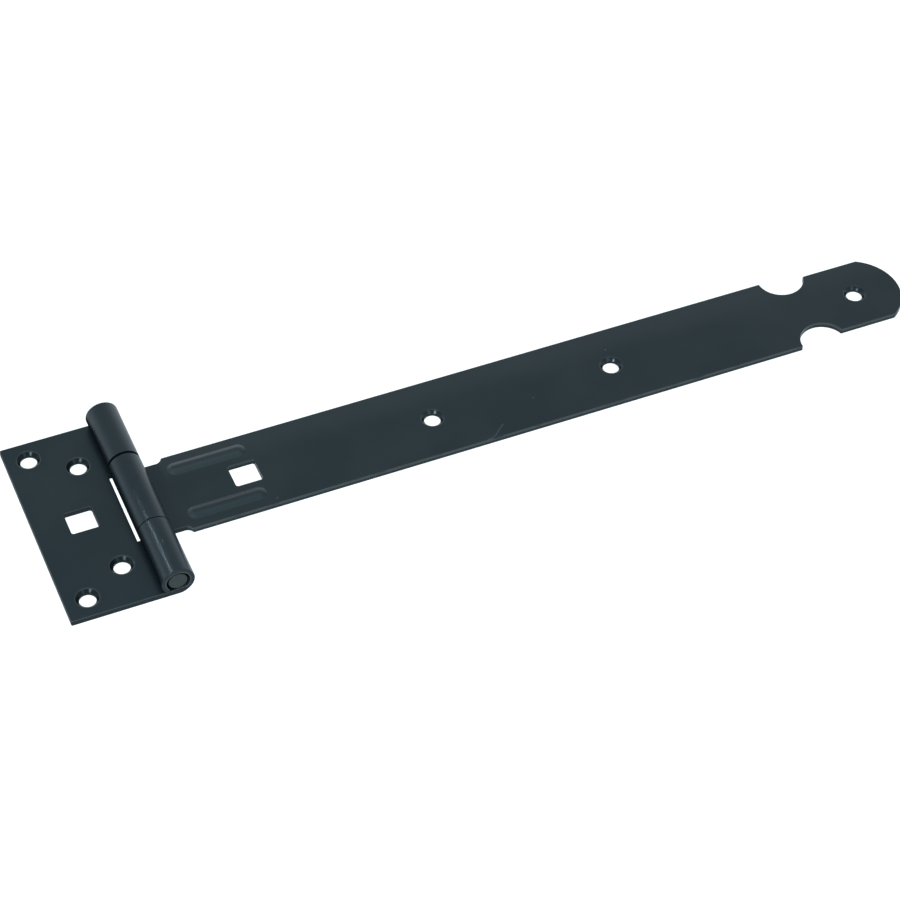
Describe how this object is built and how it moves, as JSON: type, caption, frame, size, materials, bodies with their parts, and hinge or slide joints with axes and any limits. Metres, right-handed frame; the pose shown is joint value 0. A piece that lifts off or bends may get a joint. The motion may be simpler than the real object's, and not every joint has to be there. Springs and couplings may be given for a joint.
{
  "type": "tee hinge",
  "caption": "Black coated tee hinge: a rectangular frame leaf and a long strap with a shaped end, rolled round one pin and swinging on it.",
  "frame": {"origin": "on the back plane, under the middle of the hinge pin", "axes": "+X along the strap, +Y along the hinge pin, +Z out of the front faces"},
  "size_m": [0.3064, 0.0764, 0.0108],
  "materials": {
    "leaf_coat": "satin",
    "pin_coat": "satin"
  },
  "bodies": {
    "frame": {"frame_leaf": "leaf_coat", "hinge_pin": "pin_coat"},
    "strap": {"strap_leaf": "leaf_coat"}
  },
  "joints": [
    {"name": "strap_swing", "type": "hinge", "parent": "frame", "child": "strap", "pos_m": [0, 0, 0.00538], "axis": [0, -1, 0], "range_deg": [-90, 185]}
  ]
}
